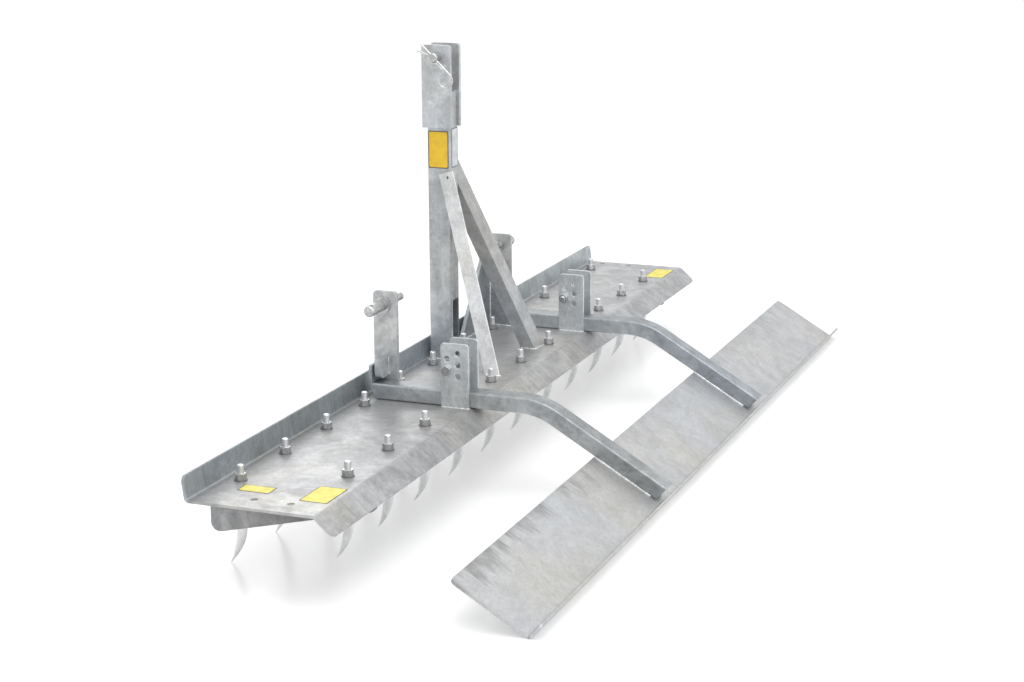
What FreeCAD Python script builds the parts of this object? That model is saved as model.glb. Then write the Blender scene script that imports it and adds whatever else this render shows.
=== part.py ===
import FreeCAD, Part
import os
from math import cos, pi, radians, sin, tan

# An arena leveller for a small tractor: a folded tray with two rows of curved tines, a
# mast and two lower link plates for the three-point linkage, and a floating rear blade
# on two tubular arms. X runs along the tray, +Y points forward to the tractor, +Z is up
# and Z = 0 is the ground. While it is built, Y = 0 is the tray's front bend. The right
# side is at +X. All lengths are millimetres and all angles are degrees.
V = FreeCAD.Vector
ACROSS = V(1, 0, 0)
FORWARD = V(0, 1, 0)
UP = V(0, 0, 1)
ORIGIN = V(0, 0, 0)
OVERRUN = 30.0

# Tray: a flat deck with a raised front flange and a rear flange that slopes down
TRAY_LENGTH = 2100.0
TRAY_DEPTH = 240.0
TRAY_SHEET = 5.0
FRONT_BEND = 4.0
REAR_BEND = 8.0
FRONT_FLANGE = 42.4
FRONT_LEAN_ANGLE = 7.5
REAR_FLANGE = 48.0
REAR_SLOPE_ANGLE = 41.0
FLANGE_CORNER = 13.0
END_HOLE = 13.0
END_HOLE_PITCH = 70.0
LEFT_HOLES_INSET = 44.5
LEFT_HOLES_BACK = 105.0
RIGHT_HOLES_INSET = 20.0
RIGHT_HOLES_BACK = 36.0

# Tines: curved claws that hang from threaded studs through the deck
TINE_DROP = 149.0
TINE_REACH = 24.5
TINE_WIDTH = 19.0
TINE_THICKNESS = 10.0
TINE_TURN_ANGLE = 4.0
FRONT_ROW_LEFT_INSET = 133.2
FRONT_ROW_RIGHT_INSET = 101.2
FRONT_TINES = 12
REAR_TINES = 11
FRONT_ROW_BACK = 32.0
REAR_ROW_FROM_BEND = 42.0
STUD = 12.0
STUD_RISE = 28.0
STUD_HOLE = 13.0
THREAD_CLEARANCE = 0.05
WASHER = 24.0
WASHER_THICKNESS = 2.5
NUT_ACROSS_FLATS = 18.0
NUT_HEIGHT = 10.0

# Shares of the tine's drop, reach, width and thickness, from the deck to the tip
TINE_SHARES = (
    (0.00, 0.00, 0.94, 1.00),
    (0.28, -0.06, 1.00, 1.00),
    (0.55, 0.00, 1.00, 0.92),
    (0.69, 0.13, 0.94, 0.84),
    (0.79, 0.31, 0.74, 0.68),
    (0.89, 0.58, 0.44, 0.46),
    (1.00, 1.00, 0.09, 0.16),
)
NUT_CHAMFER_SHARE = 0.09
STUD_CHAMFER_SHARE = 0.10

# Side boards: upright plates set across the corners under the tray's ends
BOARD_SHEET = 5.0
BOARD_HEIGHT = 50.0
BOARD_LENGTH = 296.0
BOARD_ANGLE = 48.0
BOARD_INSET = 8.0
BOARD_FROM_BEND = 198.0
BOARD_CORNER = 18.0

# Three-point linkage: heights of the lower pins and of the top link pin
LOWER_PIN_RISE = 183.0
HITCH_HEIGHT = 460.0
PIN_BACK = 33.0
GUSSET_CLEARANCE = 0.5

# Mast: an upright box tube with two plates for the top link at its head
MAST_WIDTH = 40.0
MAST_DEPTH = 52.0
MAST_WALL = 4.0
MAST_CORNER = 4.0
MAST_FRONT_BACK = 5.0
MAST_BELOW_PIN = 73.0
MAST_SLOT_HEIGHT = 129.0
TOP_PLATE = 8.0
TOP_PLATE_DEPTH = 64.0
TOP_PLATE_LAP = 74.5
TOP_PLATE_AHEAD = 7.0
TOP_PLATE_ABOVE_PIN = 24.0
TOP_PLATE_CORNER = 7.0

# Top link pin and the clip that holds it
TOP_PIN = 19.0
TOP_PIN_END = 24.0
TOP_PIN_HEAD = 30.0
TOP_PIN_HEAD_THICKNESS = 6.0
PIN_CLEARANCE = 0.05
HEAD_CLEARANCE = 0.3
CLIP_INSET = 6.5
CLIP_WIRE = 3.8
CLIP_ANGLE = 44.0
CLIP_TAIL = 40.6
CLIP_RING_REACH = 50.0
CLIP_RING_RADIUS = 15.0
CLIP_RING_ANGLE = 280.0
CLIP_VALLEY = 4.2
CLIP_VALLEY_RADIUS = 4.0
CLIP_HUMP_ANGLE = 35.0
CLIP_FLARE_REACH = 36.0
CLIP_FLARE_RISE = 16.0

# Braces: two angle bars from the deck up to the mast's sides, clear of the tine nuts
BRACE_SIDE_LEG = 31.0
BRACE_WIDE_LEG = 43.0
BRACE_SHEET = 4.0
BRACE_RISE = 407.0
BRACE_BITE = 1.36
LEFT_BRACE_SPREAD = 112.4
LEFT_BRACE_FROM_BEND = 39.8
LEFT_BRACE_TOP_BEHIND = 5.0
RIGHT_BRACE_SPREAD = 127.0
RIGHT_BRACE_FROM_BEND = 51.0
RIGHT_BRACE_TOP_AHEAD = 16.3
VENT_HOLE = 6.0
VENT_FROM_EDGE = 14.0
VENT_FROM_TOP = 11.0

# Lower link plates, the right one's gusset, and their pins
LINK_SPREAD = 632.0
LINK_PLATE = 8.0
LINK_PLATE_DEPTH = 51.0
LINK_PLATE_ABOVE_PIN = 28.0
LINK_PLATE_CORNER = 8.0
GUSSET_SHEET = 8.0
GUSSET_FOOT = 178.0
GUSSET_TOP_WIDTH = 16.0
LOWER_PIN = 22.0
LOWER_PIN_REACH = 68.0
LOWER_PIN_COLLAR = 34.0
COLLAR_THICKNESS = 7.0
LOWER_PIN_STUB = 16.0
STUB_LENGTH = 78.0
LINCH_HOLE = 8.0
LINCH_INSET = 12.0
PIN_NUT_ACROSS_FLATS = 24.0
PIN_NUT_HEIGHT = 13.0
PIN_END_CHAMFER = 2.5

# Arms and the hooks at their front ends
ARM_WIDTH = 42.0
ARM_HEIGHT = 32.0
ARM_WALL = 4.0
ARM_CORNER = 4.0
ARM_BEND = 124.0
ARM_REST_GAP = 0.3
ARM_SIDE_CLEARANCE = 0.5
ARM_FRONT_BACK = 19.0
ARM_END_GAP = 14.0
ARM_END_TILT = 13.0
ARM_CAP = 4.0
HOOK_SHEET = 6.0
HOOK_BEND = 2.0
HOOK_TOP_RISE = 67.7
HOOK_KNEE_RISE = 27.2
HOOK_SLOPE_ANGLE = 31.2
HOOK_CLEARANCE = 3.5
LUG_OVER_ARM = 7.5
LUG_WIDTH = 36.0
LUG_DEPTH = 14.5
LUG_HEIGHT = 38.0
LUG_CORNER = 10.0

# Guide plates beside the arms, with a row of bolt heights
GUIDE_SHEET = 6.0
GUIDE_DEPTH = 58.0
GUIDE_HEIGHT = 129.0
GUIDE_FROM_BEND = 5.0
GUIDE_CORNER = 7.0
GUIDE_HOLE = 13.0
GUIDE_HOLE_INSET = 13.0
GUIDE_COLUMN_PITCH = 22.5
GUIDE_HOLE_PITCH = 23.0
GUIDE_LOWEST_HOLE = 63.0
GUIDE_REAR_HOLES = 3
GUIDE_BOLT = 12.0
BOLT_HEAD_ACROSS_FLATS = 18.0
BOLT_HEAD_HEIGHT = 7.5
BOLT_END = 3.0

# Blade: a sloping sheet with a short lip turned up at its rear edge
BLADE_LENGTH = 2142.0
BLADE_DEPTH = 157.0
BLADE_SHEET = 5.0
BLADE_BEND = 4.0
BLADE_LIP = 30.0
BLADE_SLOPE_ANGLE = 30.5
LIP_ANGLE = 51.2
BLADE_BEHIND_TRAY = 387.5
BLADE_CORNER = 12.0

# Places worked out from the sizes above
DECK = TINE_DROP + TRAY_SHEET
TINE_PITCH = (TRAY_LENGTH - FRONT_ROW_LEFT_INSET - FRONT_ROW_RIGHT_INSET) / (FRONT_TINES - 1)
ROW_MIDDLE = (FRONT_ROW_LEFT_INSET - FRONT_ROW_RIGHT_INSET) / 2
REAR_ROW_BACK = TRAY_DEPTH - REAR_ROW_FROM_BEND
LEFT_BRACE_BACK = TRAY_DEPTH - LEFT_BRACE_FROM_BEND
RIGHT_BRACE_BACK = TRAY_DEPTH - RIGHT_BRACE_FROM_BEND
BOARD_BACK = TRAY_DEPTH - BOARD_FROM_BEND
GUIDE_FRONT_BACK = TRAY_DEPTH - GUIDE_FROM_BEND - GUIDE_DEPTH
BLADE_SETBACK = TRAY_DEPTH + BLADE_BEHIND_TRAY
MAST_SIDE = MAST_WIDTH / 2
MAST_REAR = -(MAST_FRONT_BACK + MAST_DEPTH)
LOWER_PIN_Z = DECK + LOWER_PIN_RISE
TOP_PIN_Z = LOWER_PIN_Z + HITCH_HEIGHT
MAST_TOP = TOP_PIN_Z - MAST_BELOW_PIN
PIN_Y = -PIN_BACK
LINK_OUTER = LINK_SPREAD / 2
LINK_INNER = LINK_OUTER - LINK_PLATE
ARM_INNER = LINK_OUTER + ARM_SIDE_CLEARANCE
ARM_OUTER = ARM_INNER + ARM_WIDTH
ARM_FLOOR = DECK + ARM_REST_GAP
ARM_TOP = ARM_FLOOR + ARM_HEIGHT
GUIDE_INNER = LINK_OUTER - GUIDE_SHEET
GUIDE_OUTER = ARM_OUTER + ARM_SIDE_CLEARANCE
GUIDE_BOLT_Y = -(GUIDE_FRONT_BACK + GUIDE_HOLE_INSET)
GUIDE_BOLT_Z = DECK + GUIDE_LOWEST_HOLE + GUIDE_HOLE_PITCH / 2


def heading(angle):
    """Unit vector in the Y-Z plane, at an angle above +Y."""
    return V(0, cos(radians(angle)), sin(radians(angle)))


def right_of(direction):
    """Unit normal on the right-hand side of a direction in the Y-Z plane."""
    return V(0, direction.z, -direction.y)


def unit(vector):
    """The vector at length one."""
    return vector * (1 / vector.Length)


def rounded_edges(points, radii, closed):
    """Straight and arc edges along a line of points, each corner with its radius."""
    count = len(points)
    corners = range(count) if closed else range(1, count - 1)
    entry = list(points)
    leave = list(points)
    edges = []
    arcs = {}
    for i in corners:
        before = unit(points[i - 1] - points[i])
        after = unit(points[(i + 1) % count] - points[i])
        if not radii[i]:
            continue
        half = before.getAngle(after) / 2
        entry[i] = points[i] + before * (radii[i] / tan(half))
        leave[i] = points[i] + after * (radii[i] / tan(half))
        middle = points[i] + unit(before + after) * (radii[i] / sin(half) - radii[i])
        arcs[i] = Part.Arc(entry[i], middle, leave[i]).toShape()
    for i in range(count):
        if i in arcs:
            edges.append(arcs[i])
        following = (i + 1) % count
        if (closed or following) and not leave[i].isEqual(entry[following], PIN_CLEARANCE):
            edges.append(Part.LineSegment(leave[i], entry[following]).toShape())
    return edges


def outline_prism(points, radii, length):
    """A prism on a rounded outline, from its plane along its normal towards +X or +Y."""
    face = Part.Face(Part.Wire(rounded_edges(points, radii, True)))
    return face.extrude(length)


def box(low, high):
    """A box between two corners."""
    size = high - low
    return Part.makeBox(size.x, size.y, size.z, low)


def rod(radius, start, end):
    """A cylinder between two points."""
    return Part.makeCylinder(radius, (end - start).Length, start, end - start)


def mirrored(shape):
    """The same piece on the other side of the centre line."""
    return shape.mirror(ORIGIN, ACROSS)


def rounded_corners(shape, places, radius, sheet):
    """Round a sheet's corners where its short edges lie at the given places."""
    near = [edge for edge in shape.Edges
            if any(edge.CenterOfMass.distanceToPoint(place) < sheet for place in places)
            and edge.Length < sheet + PIN_CLEARANCE]
    return shape.makeFillet(radius, near)


def strip_lines(points, thickness, bends, skin):
    """Points and radii of both faces of a folded strip, on the right of its reference line."""
    near_side, far_side, near_radii, far_radii = [], [], [], []
    for i, point in enumerate(points):
        ahead = unit(points[min(i + 1, len(points) - 1)] - points[min(i, len(points) - 2)])
        behind = unit(points[max(i, 1)] - points[max(i - 1, 0)])
        normal = right_of(ahead) + right_of(behind)
        miter = normal * (2 / normal.Length ** 2)
        near_side.append(point + miter * skin)
        far_side.append(point + miter * (thickness - skin))
        turns_right = right_of(behind).dot(ahead) > 0
        base = bends[i] + thickness if turns_right else bends[i]
        sign = -1 if turns_right else 1
        near_radii.append(base + sign * skin)
        far_radii.append(base + sign * (thickness - skin))
    return near_side, near_radii, far_side, far_radii


def folded_strip(points, thickness, bends, x_low, x_high, skin=0):
    """A sheet or bar bent along a line in the Y-Z plane, each point with its inner radius."""
    near_side, near_radii, far_side, far_radii = strip_lines(points, thickness, bends, skin)
    near = rounded_edges(near_side, near_radii, False)
    far = rounded_edges(far_side, far_radii, False)
    caps = [Part.LineSegment(near_side[0], far_side[0]).toShape(),
            Part.LineSegment(near_side[-1], far_side[-1]).toShape()]
    wire = Part.Wire(Part.__sortEdges__(near + far + caps))
    strip = Part.Face(wire).extrude(ACROSS * (x_high - x_low))
    strip.translate(ACROSS * x_low)
    return strip


def upright_plate(front, rear, low, high, corner_front, corner_rear):
    """Outline points and radii of a plate with rounded upper corners."""
    points = [V(0, front, low), V(0, rear, low), V(0, rear, high), V(0, front, high)]
    return points, [0, 0, corner_rear, corner_front]


def plate_across(outline, x_low, x_high):
    """A plate whose faces look along X."""
    points, radii = outline
    plate = outline_prism(points, radii, ACROSS * (x_high - x_low))
    plate.translate(ACROSS * x_low)
    return plate


def hexagon(across_flats, height, place, axis, bore=0.0):
    """A chamfered hexagon nut or bolt head standing on a place along an axis."""
    corner = across_flats / (2 * cos(pi / 6))
    ring = [V(corner * cos(i * pi / 3), corner * sin(i * pi / 3), 0) for i in range(7)]
    block = Part.Face(Part.makePolygon(ring)).extrude(UP * height)
    cut = across_flats * NUT_CHAMFER_SHARE
    flare = Part.makeCone(corner + height - cut / 2, corner - cut / 2, height)
    block = block.common(flare)
    if bore:
        block = block.cut(rod(bore / 2, UP * -OVERRUN, UP * (height + OVERRUN)))
    block.Placement = FreeCAD.Placement(place, FreeCAD.Rotation(UP, axis))
    return block


def chamfered_rod(radius, start, end, chamfer):
    """A cylinder whose far end is chamfered."""
    length = (end - start).Length
    body = Part.makeCylinder(radius, length - chamfer)
    point = Part.makeCone(radius, radius - chamfer, chamfer, UP * (length - chamfer))
    shaft = body.fuse(point).removeSplitter()
    shaft.Placement = FreeCAD.Placement(start, FreeCAD.Rotation(UP, end - start))
    return shaft


def tray_line():
    """The tray's upper face, from the rear flange's edge to the front flange's edge."""
    rear_bend = V(0, -TRAY_DEPTH, DECK)
    front_bend = V(0, 0, DECK)
    return [rear_bend - heading(REAR_SLOPE_ANGLE) * REAR_FLANGE, rear_bend, front_bend,
            front_bend + heading(90 - FRONT_LEAN_ANGLE) * FRONT_FLANGE]


def tray_sheet():
    """The folded tray without its holes and rounded corners."""
    half = TRAY_LENGTH / 2
    return folded_strip(tray_line(), TRAY_SHEET, [0, REAR_BEND, FRONT_BEND, 0], -half, half)


def row_places(count, back):
    """X, Y places of one row of tines."""
    first = ROW_MIDDLE - TINE_PITCH * (count - 1) / 2
    return [V(first + TINE_PITCH * i, -back, 0) for i in range(count)]


def under_arm(place):
    """Whether a nut on a tine's stud would foul an arm or its guide plates."""
    reach = WASHER / 2
    return GUIDE_INNER - reach < abs(place.x) < GUIDE_OUTER + GUIDE_SHEET + reach


def end_hole_places():
    """Places of the two holes near each end of the deck."""
    left = V(LEFT_HOLES_INSET - TRAY_LENGTH / 2, -LEFT_HOLES_BACK, 0)
    right = V(TRAY_LENGTH / 2 - RIGHT_HOLES_INSET, -RIGHT_HOLES_BACK, 0)
    return [place - FORWARD * (END_HOLE_PITCH * i) for place in (left, right) for i in range(2)]


def tray():
    """The folded tray with its stud holes and end holes."""
    line = tray_line()
    half = TRAY_LENGTH / 2
    rear_side = right_of(heading(REAR_SLOPE_ANGLE)) * (TRAY_SHEET / 2)
    front_side = right_of(heading(90 - FRONT_LEAN_ANGLE)) * (TRAY_SHEET / 2)
    ends = [ACROSS * side + place for side in (-half, half)
            for place in (line[0] + rear_side, line[-1] + front_side)]
    sheet = rounded_corners(tray_sheet(), ends, FLANGE_CORNER, TRAY_SHEET)
    studs = row_places(FRONT_TINES, FRONT_ROW_BACK) + row_places(REAR_TINES, REAR_ROW_BACK)
    holes = [(STUD_HOLE, place) for place in studs]
    holes += [(END_HOLE, place) for place in end_hole_places()]
    for size, place in holes:
        sheet = sheet.cut(rod(size / 2, place, place + UP * (DECK + OVERRUN)))
    return sheet


def claw_section(drop_share, reach_share, width_share, thickness_share):
    """One flat oval section of a tine, level, with its long way forward."""
    half_width = TINE_WIDTH * width_share / 2
    half_thickness = TINE_THICKNESS * thickness_share / 2
    centre = V(0, TINE_REACH * reach_share, TINE_DROP * (1 - drop_share))
    long_way = centre + FORWARD * half_width
    short_way = centre + ACROSS * half_thickness
    if half_width > half_thickness:
        oval = Part.Ellipse(long_way, short_way, centre)
    else:
        oval = Part.Ellipse(short_way, long_way, centre)
    return Part.Wire(oval.toShape())


def tine(place, turn):
    """A curved claw, turned a little about its stud, which ends flush under an arm."""
    claw = Part.makeLoft([claw_section(*shares) for shares in TINE_SHARES], True, False)
    stud_top = DECK if under_arm(place) else DECK + STUD_RISE
    stud = chamfered_rod(STUD / 2, UP * TINE_DROP, UP * stud_top, STUD * STUD_CHAMFER_SHARE)
    whole = claw.fuse(stud)
    whole.rotate(ORIGIN, UP, turn)
    whole.translate(place)
    return whole


def tine_row(count, back):
    """One row of tines, each turned a little its own way."""
    turns = [TINE_TURN_ANGLE * sin(2 * i + back) for i in range(count)]
    return [tine(place, turn) for place, turn in zip(row_places(count, back), turns)]


def tine_fastenings():
    """The washers and nuts on all the studs that stand above the deck."""
    washers, nuts = [], []
    studs = row_places(FRONT_TINES, FRONT_ROW_BACK) + row_places(REAR_TINES, REAR_ROW_BACK)
    for place in studs:
        if under_arm(place):
            continue
        seat = place + UP * DECK
        ring = rod(WASHER / 2, seat, seat + UP * WASHER_THICKNESS)
        hole = rod(STUD_HOLE / 2, seat, seat + UP * WASHER_THICKNESS)
        washers.append(ring.cut(hole))
        nuts.append(hexagon(NUT_ACROSS_FLATS, NUT_HEIGHT, seat + UP * WASHER_THICKNESS, UP,
                            STUD + 2 * THREAD_CLEARANCE))
    return washers, nuts


def side_board():
    """The upright plate across the right end under the deck, trimmed by the rear flange."""
    outer = V(TRAY_LENGTH / 2 - BOARD_INSET, -BOARD_BACK, TINE_DROP)
    inward = V(-cos(radians(BOARD_ANGLE)), -sin(radians(BOARD_ANGLE)), 0)
    inner = outer + inward * BOARD_LENGTH
    points = [outer, outer - UP * BOARD_HEIGHT, inner - UP * BOARD_HEIGHT, inner]
    normal = inward.cross(UP)
    board = outline_prism(points, [0, BOARD_CORNER, BOARD_CORNER, 0], normal * BOARD_SHEET)
    return max(board.cut(tray_sheet()).Solids, key=lambda solid: solid.Volume)


def mast():
    """The box tube, open at its head, with a tall slot in its rear wall at the foot."""
    outer = [V(MAST_SIDE, MAST_REAR, DECK), V(MAST_SIDE, -MAST_FRONT_BACK, DECK),
             V(-MAST_SIDE, -MAST_FRONT_BACK, DECK), V(-MAST_SIDE, MAST_REAR, DECK)]
    tube = outline_prism(outer, [MAST_CORNER] * 4, UP * (MAST_TOP - DECK))
    bore = box(V(MAST_WALL - MAST_SIDE, MAST_REAR + MAST_WALL, DECK),
               V(MAST_SIDE - MAST_WALL, -MAST_FRONT_BACK - MAST_WALL, MAST_TOP))
    slot = box(V(MAST_WALL - MAST_SIDE, MAST_REAR - OVERRUN, DECK),
               V(MAST_SIDE - MAST_WALL, MAST_REAR + MAST_WALL, DECK + MAST_SLOT_HEIGHT))
    return tube.cut(bore).cut(slot)


def top_link_plate():
    """The right plate at the mast's head, with the hole for the top link pin."""
    front = TOP_PLATE_AHEAD - MAST_FRONT_BACK
    outline = upright_plate(front, front - TOP_PLATE_DEPTH, MAST_TOP - TOP_PLATE_LAP,
                            TOP_PIN_Z + TOP_PLATE_ABOVE_PIN, TOP_PLATE_CORNER, TOP_PLATE_CORNER)
    plate = plate_across(outline, MAST_SIDE, MAST_SIDE + TOP_PLATE)
    centre = V(0, PIN_Y, TOP_PIN_Z)
    return plate.cut(rod(TOP_PIN / 2 + PIN_CLEARANCE, centre, centre + ACROSS * LINK_SPREAD))


def top_link_pin():
    """The cross pin through both plates, with a flat head on the right and a clip hole."""
    outer = MAST_SIDE + TOP_PLATE
    head_seat = V(outer + HEAD_CLEARANCE, PIN_Y, TOP_PIN_Z)
    end = V(-outer - TOP_PIN_END, PIN_Y, TOP_PIN_Z)
    shaft = chamfered_rod(TOP_PIN / 2, head_seat, end, TOP_PIN * STUD_CHAMFER_SHARE)
    head = rod(TOP_PIN_HEAD / 2, head_seat, head_seat + ACROSS * TOP_PIN_HEAD_THICKNESS)
    clip_along = heading(180 + CLIP_ANGLE)
    crossing = end + ACROSS * CLIP_INSET
    hole = rod(CLIP_WIRE / 2 + PIN_CLEARANCE, crossing - clip_along * TOP_PIN,
               crossing + clip_along * TOP_PIN)
    return shaft.fuse(head).cut(hole)


def clip_route():
    """The clip's route as pairs of places along and beside its straight leg, with radii."""
    ring = CLIP_RING_RADIUS
    wire = CLIP_WIRE / 2
    hump = TOP_PIN / 2 + wire + HEAD_CLEARANCE
    turn = radians(CLIP_RING_ANGLE)
    exit_along = CLIP_RING_REACH + ring * sin(turn)
    exit_aside = ring - ring * cos(turn)
    slope = cos(turn) / sin(turn)
    last_corner = CLIP_RING_REACH - ring * tan((turn - pi) / 2)
    valley_along = exit_along + (CLIP_VALLEY - exit_aside) * slope
    rise = radians(90 - CLIP_HUMP_ANGLE)
    hump_top = hump / cos(rise)
    hump_foot = (hump_top - CLIP_VALLEY) / tan(rise)
    return [((-CLIP_TAIL, 0), 0),
            ((CLIP_RING_REACH + ring, 0), ring),
            ((CLIP_RING_REACH + ring, 2 * ring), ring),
            ((last_corner, 2 * ring), ring),
            ((valley_along, CLIP_VALLEY), CLIP_VALLEY_RADIUS),
            ((hump_foot, CLIP_VALLEY), CLIP_VALLEY_RADIUS),
            ((0, hump_top), hump),
            ((-hump_foot, CLIP_VALLEY), CLIP_VALLEY_RADIUS),
            ((-CLIP_FLARE_REACH, CLIP_FLARE_RISE), 0)]


def retaining_clip():
    """The bent wire clip: one leg runs through the pin, the other hugs it from below."""
    along = heading(180 + CLIP_ANGLE)
    aside = heading(CLIP_ANGLE - 90)
    centre = V(CLIP_INSET - MAST_SIDE - TOP_PLATE - TOP_PIN_END, PIN_Y, TOP_PIN_Z)
    route = clip_route()
    points = [centre + along * place[0] + aside * place[1] for place, radius in route]
    edges = rounded_edges(points, [radius for place, radius in route], False)
    start = Part.Wire(Part.Circle(points[0], along, CLIP_WIRE / 2).toShape())
    return Part.Wire(edges).makePipeShell([start], True, True)


def brace(foot, top, section, beside):
    """An angle bar on a section beside its lower rear edge, cut level on the deck."""
    axis = unit(top - foot)
    forward = unit(FORWARD - axis * FORWARD.dot(axis))
    across = unit(beside - axis * beside.dot(axis) - forward * beside.dot(forward))
    start = foot - axis * (BRACE_WIDE_LEG + OVERRUN)
    outline = [start + forward * ahead + across * aside for ahead, aside in section]
    bar = Part.Face(Part.makePolygon(outline + outline[:1])).extrude(top - start)
    reach = foot.x + BRACE_WIDE_LEG + OVERRUN
    below = box(V(-reach, -TRAY_DEPTH - reach, -OVERRUN), V(reach, reach, DECK))
    beyond = box(V(-reach, -TRAY_DEPTH - reach, DECK), V(0, reach, TOP_PIN_Z))
    post = box(V(-MAST_SIDE, MAST_REAR, DECK), V(MAST_SIDE, -MAST_FRONT_BACK, MAST_TOP))
    return bar.cut(below).cut(beyond).cut(post)


def right_brace():
    """The right angle bar: one leg faces the centre line, the other points outward behind."""
    foot = V(RIGHT_BRACE_SPREAD, -RIGHT_BRACE_BACK, DECK)
    top = V(MAST_SIDE - BRACE_BITE, MAST_REAR + RIGHT_BRACE_TOP_AHEAD, DECK + BRACE_RISE)
    section = [(0, 0), (BRACE_SIDE_LEG, 0), (BRACE_SIDE_LEG, BRACE_SHEET),
               (BRACE_SHEET, BRACE_SHEET), (BRACE_SHEET, BRACE_WIDE_LEG), (0, BRACE_WIDE_LEG)]
    return brace(foot, top, section, ACROSS)


def left_brace():
    """The left angle bar: one leg faces outward, the other points inward in front."""
    foot = V(LEFT_BRACE_SPREAD, -LEFT_BRACE_BACK, DECK)
    top = V(MAST_SIDE + BRACE_SHEET - BRACE_BITE, MAST_REAR - LEFT_BRACE_TOP_BEHIND,
            DECK + BRACE_RISE)
    inside = BRACE_SIDE_LEG - BRACE_SHEET
    section = [(0, 0), (BRACE_SIDE_LEG, 0), (BRACE_SIDE_LEG, BRACE_WIDE_LEG),
               (inside, BRACE_WIDE_LEG), (inside, BRACE_SHEET), (0, BRACE_SHEET)]
    bar = brace(foot, top, section, -ACROSS)
    axis = unit(top - foot)
    forward = unit(FORWARD - axis * FORWARD.dot(axis))
    vent = top - axis * VENT_FROM_TOP + forward * VENT_FROM_EDGE
    hole = rod(VENT_HOLE / 2, vent - ACROSS * BRACE_WIDE_LEG, vent + ACROSS * BRACE_WIDE_LEG)
    return mirrored(bar.cut(hole))


def gusset_front():
    """Y place of the gusset's front face, just clear of the flange's inner bend."""
    setback = FRONT_BEND * tan(radians(90 - FRONT_LEAN_ANGLE) / 2)
    return -(setback + GUSSET_CLEARANCE)


def link_plate():
    """The right lower link plate, with the hole for its pin."""
    front = gusset_front() - GUSSET_SHEET
    outline = upright_plate(front, front - LINK_PLATE_DEPTH, DECK,
                            LOWER_PIN_Z + LINK_PLATE_ABOVE_PIN,
                            LINK_PLATE_CORNER, LINK_PLATE_CORNER)
    plate = plate_across(outline, LINK_INNER, LINK_OUTER)
    centre = V(LINK_INNER - OVERRUN, PIN_Y, LOWER_PIN_Z)
    hole = rod(LOWER_PIN_STUB / 2 + PIN_CLEARANCE, centre, centre + ACROSS * LINK_SPREAD)
    return plate.cut(hole)


def gusset():
    """The triangular gusset, upright in front of the right link plate."""
    top = LOWER_PIN_Z + LINK_PLATE_ABOVE_PIN - LINK_PLATE_CORNER
    front = gusset_front()
    corners = [V(LINK_OUTER - GUSSET_FOOT, front, DECK), V(LINK_OUTER, front, DECK),
               V(LINK_OUTER, front, top), V(LINK_OUTER - GUSSET_TOP_WIDTH, front, top)]
    return outline_prism(corners, [0] * 4, FORWARD * -GUSSET_SHEET)


def lower_pin():
    """The right lower link pin: a shank outside, a collar, and a threaded stub inside."""
    seat = V(LINK_OUTER, PIN_Y, LOWER_PIN_Z)
    end = seat + ACROSS * LOWER_PIN_REACH
    shank = chamfered_rod(LOWER_PIN / 2, seat, end, PIN_END_CHAMFER)
    collar = rod(LOWER_PIN_COLLAR / 2, seat, seat + ACROSS * COLLAR_THICKNESS)
    stub = chamfered_rod(LOWER_PIN_STUB / 2, seat, V(LINK_INNER - STUB_LENGTH, PIN_Y, LOWER_PIN_Z),
                         PIN_END_CHAMFER)
    linch = end - ACROSS * LINCH_INSET
    hole = rod(LINCH_HOLE / 2, linch - UP * LOWER_PIN, linch + UP * LOWER_PIN)
    return shank.fuse(collar).fuse(stub).cut(hole)


def lower_pin_nut():
    """The nut on the stub, against the link plate's inner face."""
    place = V(LINK_INNER, PIN_Y, LOWER_PIN_Z)
    return hexagon(PIN_NUT_ACROSS_FLATS, PIN_NUT_HEIGHT, place, ACROSS * -1,
                   LOWER_PIN_STUB + 2 * THREAD_CLEARANCE)


def hook_lug():
    """The right lug on the link plate, behind the arm's hook and above the arm."""
    front = -(ARM_FRONT_BACK + HOOK_SHEET + HOOK_CLEARANCE)
    low = ARM_TOP + LUG_OVER_ARM
    high = low + LUG_HEIGHT
    points = [V(LINK_OUTER, front, low), V(LINK_OUTER + LUG_WIDTH, front, low),
              V(LINK_OUTER + LUG_WIDTH, front, high), V(LINK_OUTER, front, high)]
    return outline_prism(points, [0, LUG_CORNER, 0, 0], FORWARD * -LUG_DEPTH)


def guide_holes():
    """Y, Z places of the guide plate's bolt holes: two in front, three behind."""
    front = [(GUIDE_BOLT_Y, GUIDE_BOLT_Z + GUIDE_HOLE_PITCH * i)
             for i in range(GUIDE_REAR_HOLES - 1)]
    rear = [(GUIDE_BOLT_Y - GUIDE_COLUMN_PITCH, DECK + GUIDE_LOWEST_HOLE + GUIDE_HOLE_PITCH * i)
            for i in range(GUIDE_REAR_HOLES)]
    return front + rear


def guide_plate(x_low):
    """A guide plate on the deck, starting at one X place."""
    outline = upright_plate(-GUIDE_FRONT_BACK, -GUIDE_FRONT_BACK - GUIDE_DEPTH, DECK,
                            DECK + GUIDE_HEIGHT, GUIDE_CORNER, GUIDE_CORNER)
    plate = plate_across(outline, x_low, x_low + GUIDE_SHEET)
    for y, z in guide_holes():
        centre = V(x_low - OVERRUN, y, z)
        plate = plate.cut(rod(GUIDE_HOLE / 2, centre, centre + ACROSS * LINK_SPREAD))
    return plate


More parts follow.
